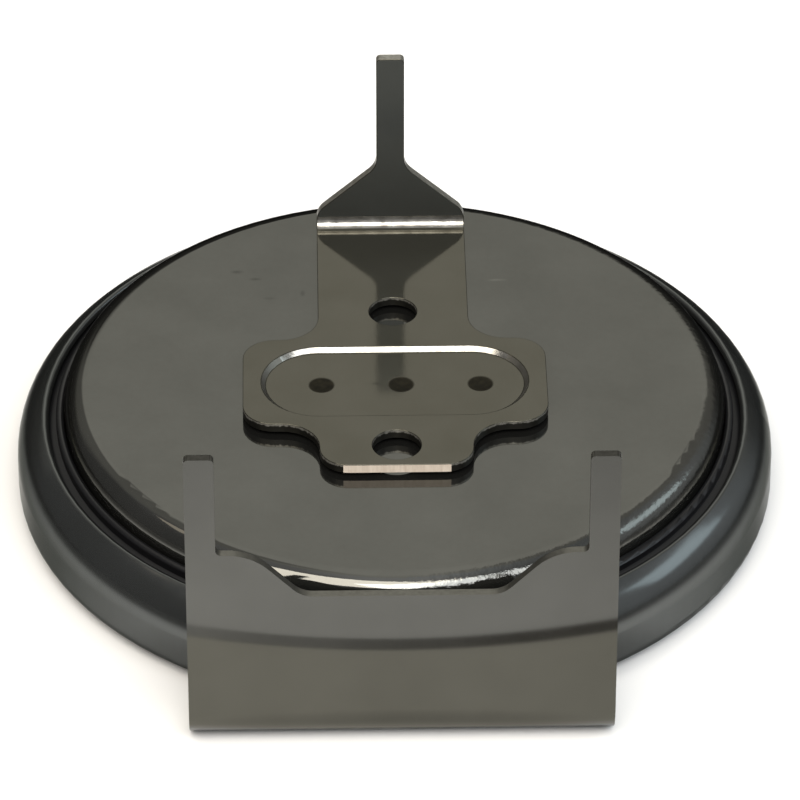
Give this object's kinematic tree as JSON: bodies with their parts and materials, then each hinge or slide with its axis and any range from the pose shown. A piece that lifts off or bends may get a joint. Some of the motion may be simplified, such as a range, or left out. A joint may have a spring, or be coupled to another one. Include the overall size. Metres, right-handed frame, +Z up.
{
  "type": "lithium coin cell with solder tabs",
  "caption": "Round flat lithium cell with a crimped steel can, a raised cap and two welded tabs folded into flat pins for a circuit board.",
  "frame": {"origin": "on the cell's axis, at the underside of the positive tab, on which the part rests", "axes": "+Z up along the cell's axis, out of the negative cap; the two positive pins stand on the -Y side and the negative pin on the +Y side"},
  "size_m": [0.02, 0.0211, 0.0092],
  "materials": {
    "can_steel": "bright drawn nickel-plated steel",
    "cap_steel": "polished steel with soft blotches",
    "gasket_plastic": "moulded black polypropylene",
    "ring_steel": "bright pressed steel",
    "cathode_mix": "pressed black powder",
    "separator_cloth": "white non-woven cloth",
    "lithium_metal": "soft silvery metal",
    "negative_tab_steel": "polished blanked sheet",
    "positive_tab_steel": "polished blanked sheet"
  },
  "bodies": {
    "root": {"positive_can": "can_steel", "negative_cap": "cap_steel", "gasket": "gasket_plastic", "cathode_ring": "ring_steel", "cathode_pellet": "cathode_mix", "separator": "separator_cloth", "lithium_anode": "lithium_metal", "negative_tab": "negative_tab_steel", "positive_tab": "positive_tab_steel"}
  },
  "joints": []
}
